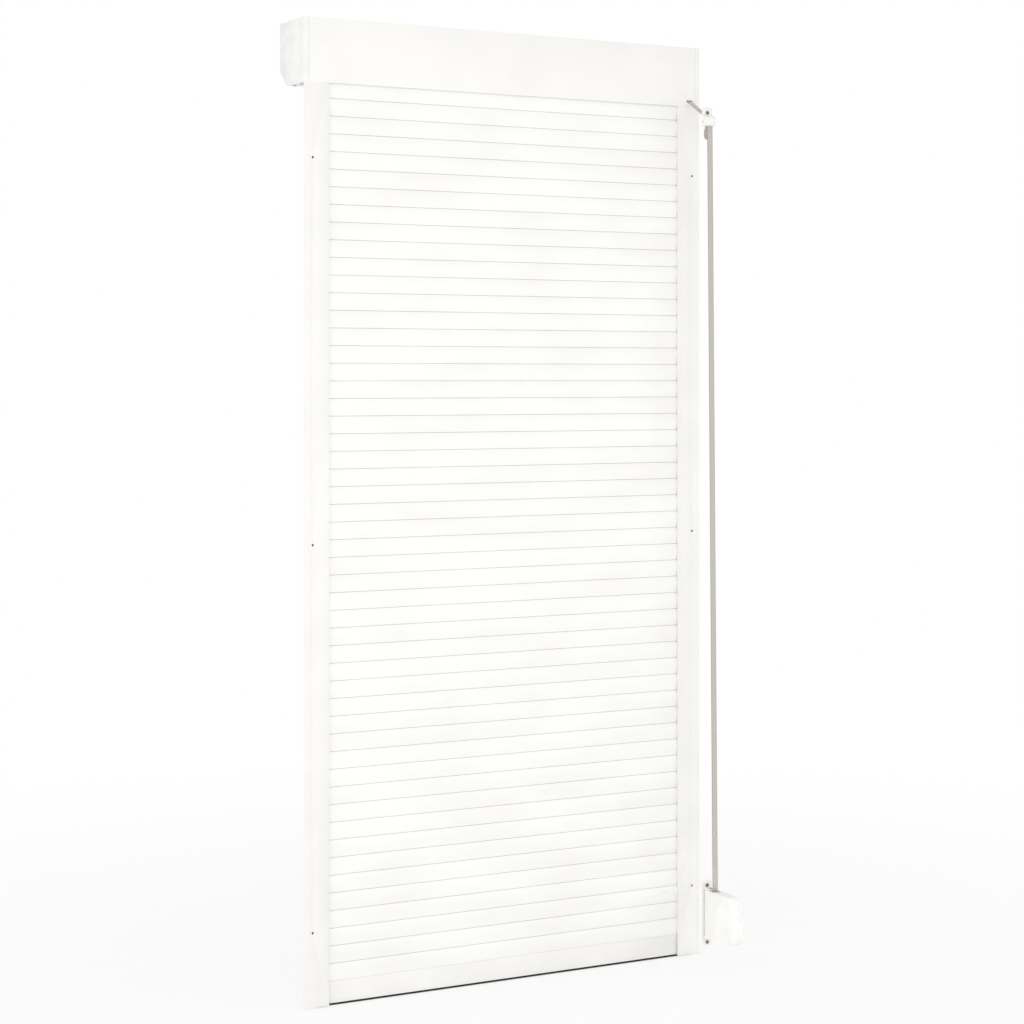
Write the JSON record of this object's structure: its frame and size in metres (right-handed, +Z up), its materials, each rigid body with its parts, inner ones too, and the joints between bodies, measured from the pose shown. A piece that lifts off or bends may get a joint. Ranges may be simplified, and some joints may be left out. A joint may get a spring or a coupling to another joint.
{
  "type": "exterior roller shutter",
  "caption": "Exterior roller shutter with a chamfered box, two guide rails, a slatted curtain and a strap that runs over a guide to a swivelling winder.",
  "frame": {"origin": "centre of the rails' screw rectangle, on the face of the rails that lies against the window frame, in the middle of the width and half way up the rails", "axes": "+X across the shutter, +Y away from the room, +Z up; the curtain is down at rest"},
  "size_m": [1, 0.327, 2.1],
  "materials": {
    "box_metal": "white powder coat",
    "rail_metal": "white powder coat",
    "slat_metal": "white coil coat",
    "white_plastic": "satin",
    "inner_plastic": "satin",
    "dark_plastic": "satin",
    "seal_rubber": "matt",
    "pile": "brush pile",
    "strap_fabric": "woven polyester",
    "galvanised": "zinc",
    "spring_steel": "oiled",
    "screw_brass": "worn",
    "bearing_steel": "polished"
  },
  "bodies": {
    "frame": {"casing_shell": "box_metal", "inspection_cover": "box_metal", "end_cap_left": "white_plastic", "end_cap_right": "white_plastic", "cover_screws": "galvanised", "rail_inlets": "dark_plastic", "box_lip_seal": "pile", "guide_rail_left": "rail_metal", "guide_rail_right": "rail_metal", "rail_lip_seals": "seal_rubber", "rail_foot_caps": "white_plastic", "rail_hole_plugs": "white_plastic", "tube_bearing_left": "bearing_steel", "tube_bearing_right": "bearing_steel", "strap": "strap_fabric", "strap_outlet": "white_plastic", "strap_guide_plate": "inner_plastic", "strap_guide_cover": "white_plastic", "strap_guide_pin": "galvanised", "strap_fitting_screws": "screw_brass", "winder_bracket": "white_plastic", "winder_pivot_pins": "galvanised"},
    "roller": {"roller_tube": "galvanised", "tube_end_plug": "inner_plastic", "strap_pulley": "inner_plastic", "pulley_strap_winding": "strap_fabric", "tube_screws": "galvanised", "curtain_hangers": "spring_steel"},
    "end_bar": {"bottom_bar": "rail_metal", "bottom_seal": "seal_rubber", "bottom_bar_end_caps": "dark_plastic", "lift_stops": "white_plastic"},
    "guide_roller": {"strap_guide_roller": "inner_plastic"},
    "winder": {"winder_shell_left": "white_plastic", "winder_shell_right": "white_plastic", "winder_shell_screws": "galvanised", "winder_axle": "galvanised", "clamp_pin": "galvanised"},
    "reel": {"strap_reel": "inner_plastic", "reel_strap_winding": "strap_fabric", "rewind_spring": "spring_steel"},
    "clamp": {"strap_clamp": "dark_plastic"},
    "slats_01_row": {"slats_01": "slat_metal"},
    "slats_02_row": {"slats_02": "slat_metal"},
    "slats_03_row": {"slats_03": "slat_metal"},
    "slats_04_row": {"slats_04": "slat_metal"},
    "slats_05_row": {"slats_05": "slat_metal"},
    "slats_06_row": {"slats_06": "slat_metal"},
    "slats_07_row": {"slats_07": "slat_metal"},
    "slats_08_row": {"slats_08": "slat_metal"},
    "slats_09_row": {"slats_09": "slat_metal"},
    "slats_10_row": {"slats_10": "slat_metal"},
    "slats_11_row": {"slats_11": "slat_metal"},
    "slats_12_row": {"slats_12": "slat_metal"},
    "slats_13_row": {"slats_13": "slat_metal"},
    "slats_14_row": {"slats_14": "slat_metal"},
    "slats_15_row": {"slats_15": "slat_metal"},
    "slats_16_row": {"slats_16": "slat_metal"},
    "slats_17_row": {"slats_17": "slat_metal"}
  },
  "joints": [
    {"name": "curtain_lift", "type": "slide", "parent": "frame", "child": "end_bar", "axis": [0, 0, 1], "range_m": [0, 1.9115], "deforming": ["slats_01", "slats_02", "slats_03", "slats_04", "slats_05", "slats_06", "slats_07", "slats_08", "slats_09", "slats_10", "slats_11", "slats_12", "slats_13", "slats_14", "slats_15", "slats_16", "slats_17", "curtain_hangers", "pulley_strap_winding", "reel_strap_winding", "rewind_spring"]},
    {"name": "roller_turn", "type": "hinge", "parent": "frame", "child": "roller", "pos_m": [0, 0.063, 1.05], "axis": [-1, 0, 0], "range_deg": [0, 2161]},
    {"name": "guide_roller_turn", "type": "hinge", "parent": "frame", "child": "guide_roller", "pos_m": [0.4725, -0.077, 0.9395], "axis": [1, 0, 0], "range_deg": [0, 15481]},
    {"name": "winder_swivel", "type": "hinge", "parent": "frame", "child": "winder", "pos_m": [0.4725, -0.0883, -0.8675], "axis": [0, 0, 1], "range_deg": [-80, 80], "deforming": ["strap"]},
    {"name": "reel_turn", "type": "hinge", "parent": "winder", "child": "reel", "pos_m": [0.4725, -0.14, -0.8675], "axis": [-1, 0, 0], "range_deg": [0, 3061]},
    {"name": "strap_clamp_tilt", "type": "hinge", "parent": "winder", "child": "clamp", "pos_m": [0.4725, -0.11772, -0.824], "axis": [1, 0, 0], "range_deg": [-25, 0]},
    {"name": "slats_01_lift", "type": "slide", "parent": "frame", "child": "slats_01_row", "axis": [0, 0, 1], "range_m": [0, 1.912], "deforming": ["slats_01"]},
    {"name": "slats_02_lift", "type": "slide", "parent": "frame", "child": "slats_02_row", "axis": [0, 0, 1], "range_m": [0, 1.7992], "deforming": ["slats_02"]},
    {"name": "slats_03_lift", "type": "slide", "parent": "frame", "child": "slats_03_row", "axis": [0, 0, 1], "range_m": [0, 1.6864], "deforming": ["slats_03"]},
    {"name": "slats_04_lift", "type": "slide", "parent": "frame", "child": "slats_04_row", "axis": [0, 0, 1], "range_m": [0, 1.5736], "deforming": ["slats_04"]},
    {"name": "slats_05_lift", "type": "slide", "parent": "frame", "child": "slats_05_row", "axis": [0, 0, 1], "range_m": [0, 1.4608], "deforming": ["slats_05"]},
    {"name": "slats_06_lift", "type": "slide", "parent": "frame", "child": "slats_06_row", "axis": [0, 0, 1], "range_m": [0, 1.348], "deforming": ["slats_06"]},
    {"name": "slats_07_lift", "type": "slide", "parent": "frame", "child": "slats_07_row", "axis": [0, 0, 1], "range_m": [0, 1.2352], "deforming": ["slats_07"]},
    {"name": "slats_08_lift", "type": "slide", "parent": "frame", "child": "slats_08_row", "axis": [0, 0, 1], "range_m": [0, 1.1224], "deforming": ["slats_08"]},
    {"name": "slats_09_lift", "type": "slide", "parent": "frame", "child": "slats_09_row", "axis": [0, 0, 1], "range_m": [0, 1.0096], "deforming": ["slats_09"]},
    {"name": "slats_10_lift", "type": "slide", "parent": "frame", "child": "slats_10_row", "axis": [0, 0, 1], "range_m": [0, 0.8968], "deforming": ["slats_10"]},
    {"name": "slats_11_lift", "type": "slide", "parent": "frame", "child": "slats_11_row", "axis": [0, 0, 1], "range_m": [0, 0.784], "deforming": ["slats_11"]},
    {"name": "slats_12_lift", "type": "slide", "parent": "frame", "child": "slats_12_row", "axis": [0, 0, 1], "range_m": [0, 0.6712], "deforming": ["slats_12"]},
    {"name": "slats_13_lift", "type": "slide", "parent": "frame", "child": "slats_13_row", "axis": [0, 0, 1], "range_m": [0, 0.5584], "deforming": ["slats_13"]},
    {"name": "slats_14_lift", "type": "slide", "parent": "frame", "child": "slats_14_row", "axis": [0, 0, 1], "range_m": [0, 0.4456], "deforming": ["slats_14"]},
    {"name": "slats_15_lift", "type": "slide", "parent": "frame", "child": "slats_15_row", "axis": [0, 0, 1], "range_m": [0, 0.3328], "deforming": ["slats_15"]},
    {"name": "slats_16_lift", "type": "slide", "parent": "frame", "child": "slats_16_row", "axis": [0, 0, 1], "range_m": [0, 0.22], "deforming": ["slats_16"]},
    {"name": "slats_17_lift", "type": "slide", "parent": "frame", "child": "slats_17_row", "axis": [0, 0, 1], "range_m": [0, 0.1072], "deforming": ["slats_17"]}
  ],
  "couplings": [
    {"joint": "roller_turn", "follows": "curtain_lift", "rad_per_m": 19.722},
    {"joint": "guide_roller_turn", "follows": "curtain_lift", "rad_per_m": 141.34},
    {"joint": "reel_turn", "follows": "curtain_lift", "rad_per_m": 27.94},
    {"joint": "slats_01_lift", "follows": "curtain_lift", "ratio": 1},
    {"joint": "slats_02_lift", "follows": "curtain_lift", "ratio": 0.94099},
    {"joint": "slats_03_lift", "follows": "curtain_lift", "ratio": 0.88198},
    {"joint": "slats_04_lift", "follows": "curtain_lift", "ratio": 0.82297},
    {"joint": "slats_05_lift", "follows": "curtain_lift", "ratio": 0.76396},
    {"joint": "slats_06_lift", "follows": "curtain_lift", "ratio": 0.70494},
    {"joint": "slats_07_lift", "follows": "curtain_lift", "ratio": 0.64593},
    {"joint": "slats_08_lift", "follows": "curtain_lift", "ratio": 0.58692},
    {"joint": "slats_09_lift", "follows": "curtain_lift", "ratio": 0.52791},
    {"joint": "slats_10_lift", "follows": "curtain_lift", "ratio": 0.4689},
    {"joint": "slats_11_lift", "follows": "curtain_lift", "ratio": 0.40989},
    {"joint": "slats_12_lift", "follows": "curtain_lift", "ratio": 0.35088},
    {"joint": "slats_13_lift", "follows": "curtain_lift", "ratio": 0.29186},
    {"joint": "slats_14_lift", "follows": "curtain_lift", "ratio": 0.23285},
    {"joint": "slats_15_lift", "follows": "curtain_lift", "ratio": 0.17384},
    {"joint": "slats_16_lift", "follows": "curtain_lift", "ratio": 0.11483},
    {"joint": "slats_17_lift", "follows": "curtain_lift", "ratio": 0.05582}
  ]
}
